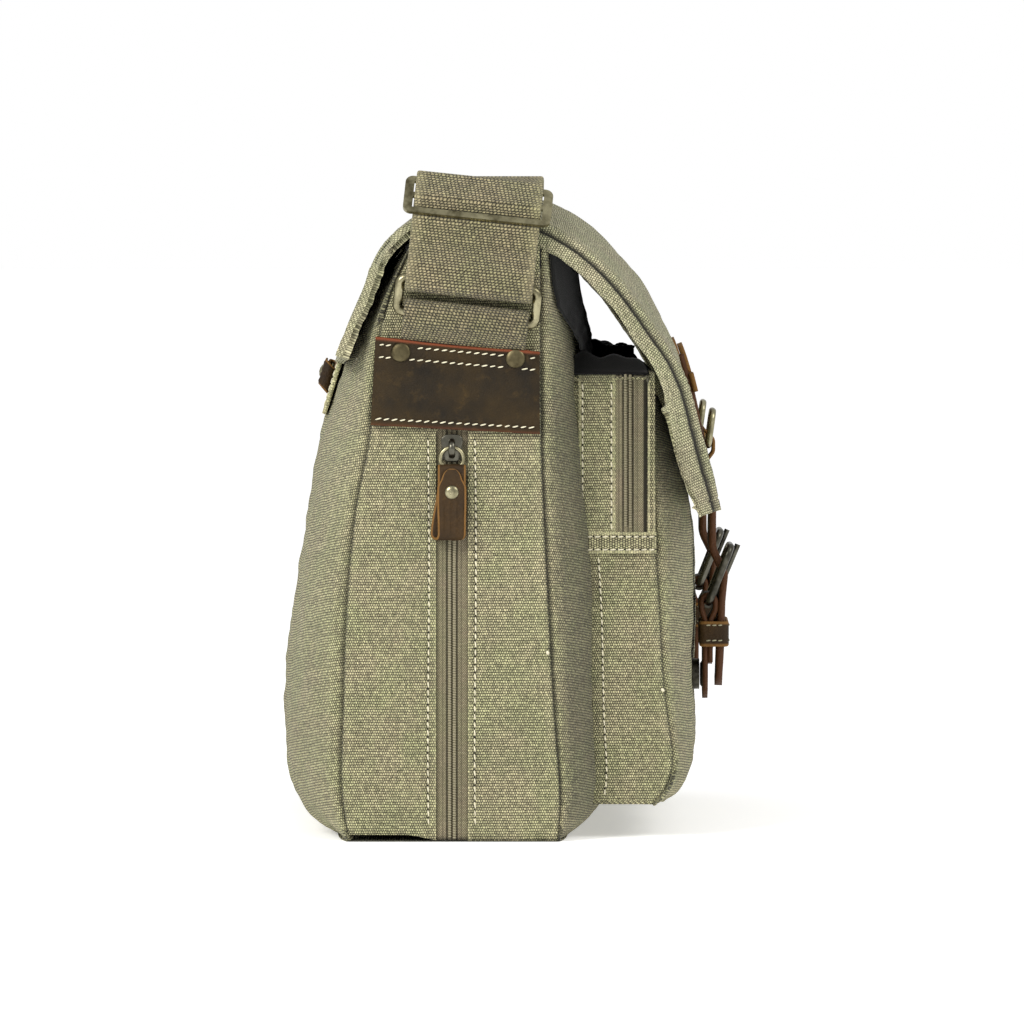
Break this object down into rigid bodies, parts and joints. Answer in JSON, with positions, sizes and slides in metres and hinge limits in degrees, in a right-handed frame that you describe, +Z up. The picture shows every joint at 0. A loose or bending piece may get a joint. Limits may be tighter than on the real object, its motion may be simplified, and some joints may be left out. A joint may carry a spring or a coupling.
{
  "type": "messenger bag",
  "caption": "Canvas messenger bag with a curved front flap, leather trim, buckle closures, front pocket, side and back zips, and a webbing shoulder strap folded over its top.",
  "frame": {"origin": "middle of the underside of the base, below the centre of the two end gussets", "axes": "+Z up, X along the bag's length, -Y out of the front where the flap closes"},
  "size_m": [0.351, 0.1786, 0.2584],
  "materials": {
    "canvas": "stonewashed cotton canvas, matt",
    "lining": "black woven lining, matt",
    "board": "matt stiffening board",
    "leather": "waxed brown leather with paler cut edges",
    "brass": "antique brass, satin",
    "webbing": "heavy cotton webbing, matt",
    "zip_tape": "woven zip tape, matt",
    "zip_coil": "coiled nylon teeth, satin"
  },
  "bodies": {
    "bag": {"gusset_left": "canvas", "gusset_right": "canvas", "back_panel": "canvas", "front_panel": "canvas", "base_panel": "canvas", "lining": "lining", "base_board": "board", "divider": "lining", "mouth_binding": "lining", "leather_patch_left": "leather", "leather_patch_right": "leather", "patch_rivets_left": "brass", "patch_rivets_right": "brass", "ring_tab_left": "webbing", "ring_tab_right": "webbing", "strap_leg_left": "webbing", "strap_leg_right": "webbing", "side_zip_tapes": "zip_tape", "side_zip_coils": "zip_coil", "pocket_front": "canvas", "pocket_gussets": "canvas", "pocket_band": "canvas", "pocket_zip_tape": "zip_tape", "pocket_zip_coil": "zip_coil", "stud_sockets": "brass", "back_zip_tape": "zip_tape", "back_zip_coil": "zip_coil", "flap_rear": "canvas"},
    "flap": {"flap_outer": "canvas", "flap_lining": "lining", "closure_anchors": "leather"},
    "strap": {"strap_webbing": "webbing", "strap_slider": "brass"},
    "strap_ring_left": {"strap_ring_left": "brass"},
    "strap_ring_right": {"strap_ring_right": "brass"},
    "side_slider_left": {"side_slider_left": "brass"},
    "side_pull_ring_left": {"side_pull_ring_left": "brass"},
    "side_pull_tab_left": {"side_pull_tab_left": "leather"},
    "side_slider_right": {"side_slider_right": "brass"},
    "side_pull_ring_right": {"side_pull_ring_right": "brass"},
    "side_pull_tab_right": {"side_pull_tab_right": "leather"},
    "pocket_slider": {"pocket_slider": "brass"},
    "pocket_pull_ring": {"pocket_pull_ring": "brass"},
    "pocket_pull_tab": {"pocket_pull_tab": "leather"},
    "back_slider": {"back_slider": "brass"},
    "back_pull_ring": {"back_pull_ring": "brass"},
    "back_pull_tab": {"back_pull_tab": "leather"},
    "upper_ring_left": {"upper_ring_left": "brass"},
    "closure_left": {"closure_strap_left": "leather", "chape_left": "leather", "keeper_left": "leather"},
    "buckle_frame_left": {"buckle_frame_left": "brass"},
    "buckle_prong_left": {"buckle_prong_left": "brass"},
    "upper_ring_right": {"upper_ring_right": "brass"},
    "closure_right": {"closure_strap_right": "leather", "chape_right": "leather", "keeper_right": "leather"},
    "buckle_frame_right": {"buckle_frame_right": "brass"},
    "buckle_prong_right": {"buckle_prong_right": "brass"}
  },
  "joints": [
    {"name": "flap_hinge", "type": "hinge", "parent": "bag", "child": "flap", "pos_m": [0, 0.027, 0.225], "axis": [-1, 0, 0], "range_deg": [0, 115]},
    {"name": "strap_ride", "type": "hinge", "parent": "bag", "child": "strap", "pos_m": [0, 0.027, 0.225], "axis": [-1, 0, 0], "range_deg": [0, 115], "deforming": ["strap_leg_left", "strap_leg_right"]},
    {"name": "strap_ring_hinge_left", "type": "hinge", "parent": "bag", "child": "strap_ring_left", "pos_m": [-0.17, -0.0054, 0.2017], "axis": [0, 0.9945, 0.1045], "range_deg": [-8, 8]},
    {"name": "strap_ring_hinge_right", "type": "hinge", "parent": "bag", "child": "strap_ring_right", "pos_m": [0.17, -0.0054, 0.2017], "axis": [0, 0.9945, 0.1045], "range_deg": [-8, 8]},
    {"name": "side_slider_left_slide", "type": "slide", "parent": "bag", "child": "side_slider_left", "axis": [0, 0, -1], "range_m": [0, 0.137]},
    {"name": "side_pull_ring_left_hinge", "type": "hinge", "parent": "side_slider_left", "child": "side_pull_ring_left", "pos_m": [-0.1687, 0, 0.1515], "axis": [0, 1, 0], "range_deg": [0, 120]},
    {"name": "side_pull_tab_left_hinge", "type": "hinge", "parent": "side_pull_ring_left", "child": "side_pull_tab_left", "pos_m": [-0.1687, 0, 0.144], "axis": [0, 1, 0], "range_deg": [0, 50]},
    {"name": "side_slider_right_slide", "type": "slide", "parent": "bag", "child": "side_slider_right", "axis": [0, 0, -1], "range_m": [0, 0.137]},
    {"name": "side_pull_ring_right_hinge", "type": "hinge", "parent": "side_slider_right", "child": "side_pull_ring_right", "pos_m": [0.1687, 0, 0.1515], "axis": [0, -1, 0], "range_deg": [0, 120]},
    {"name": "side_pull_tab_right_hinge", "type": "hinge", "parent": "side_pull_ring_right", "child": "side_pull_tab_right", "pos_m": [0.1687, 0, 0.144], "axis": [0, -1, 0], "range_deg": [0, 50]},
    {"name": "pocket_slider_slide", "type": "slide", "parent": "bag", "child": "pocket_slider", "axis": [-1, 0, 0], "range_m": [0, 0.19]},
    {"name": "pocket_pull_ring_hinge", "type": "hinge", "parent": "pocket_slider", "child": "pocket_pull_ring", "pos_m": [0.095, -0.068, 0.1847], "axis": [0, 1, 0], "range_deg": [0, 25]},
    {"name": "pocket_pull_tab_hinge", "type": "hinge", "parent": "pocket_pull_ring", "child": "pocket_pull_tab", "pos_m": [0.0875, -0.068, 0.1847], "axis": [0, 1, 0], "range_deg": [0, 20]},
    {"name": "back_slider_slide", "type": "slide", "parent": "bag", "child": "back_slider", "axis": [-1, 0, 0], "range_m": [0, 0.19]},
    {"name": "back_pull_ring_hinge", "type": "hinge", "parent": "back_slider", "child": "back_pull_ring", "pos_m": [0.095, 0.05175, 0.17667], "axis": [0, 0.2924, -0.9563], "range_deg": [0, 120]},
    {"name": "back_pull_tab_hinge", "type": "hinge", "parent": "back_pull_ring", "child": "back_pull_tab", "pos_m": [0.0875, 0.05175, 0.17667], "axis": [0, 0.2924, -0.9563], "range_deg": [0, 50]},
    {"name": "upper_ring_hinge_left", "type": "hinge", "parent": "flap", "child": "upper_ring_left", "pos_m": [-0.088, -0.1, 0.151], "axis": [1, 0, 0], "range_deg": [0, 110]},
    {"name": "closure_hinge_left", "type": "hinge", "parent": "flap", "child": "closure_left", "pos_m": [-0.088, -0.1018, 0.1265], "axis": [-1, 0, 0], "range_deg": [0, 100]},
    {"name": "buckle_hinge_left", "type": "hinge", "parent": "closure_left", "child": "buckle_frame_left", "pos_m": [-0.088, -0.1002, 0.0896], "axis": [1, 0, 0], "range_deg": [0, 12]},
    {"name": "prong_hinge_left", "type": "hinge", "parent": "buckle_frame_left", "child": "buckle_prong_left", "pos_m": [-0.088, -0.1002, 0.0896], "axis": [1, 0, 0], "range_deg": [0, 15]},
    {"name": "upper_ring_hinge_right", "type": "hinge", "parent": "flap", "child": "upper_ring_right", "pos_m": [0.088, -0.1, 0.151], "axis": [1, 0, 0], "range_deg": [0, 110]},
    {"name": "closure_hinge_right", "type": "hinge", "parent": "flap", "child": "closure_right", "pos_m": [0.088, -0.1018, 0.1265], "axis": [-1, 0, 0], "range_deg": [0, 100]},
    {"name": "buckle_hinge_right", "type": "hinge", "parent": "closure_right", "child": "buckle_frame_right", "pos_m": [0.088, -0.1002, 0.0896], "axis": [1, 0, 0], "range_deg": [0, 12]},
    {"name": "prong_hinge_right", "type": "hinge", "parent": "buckle_frame_right", "child": "buckle_prong_right", "pos_m": [0.088, -0.1002, 0.0896], "axis": [1, 0, 0], "range_deg": [0, 15]}
  ],
  "couplings": [
    {"joint": "strap_ride", "follows": "flap_hinge", "ratio": 1}
  ]
}
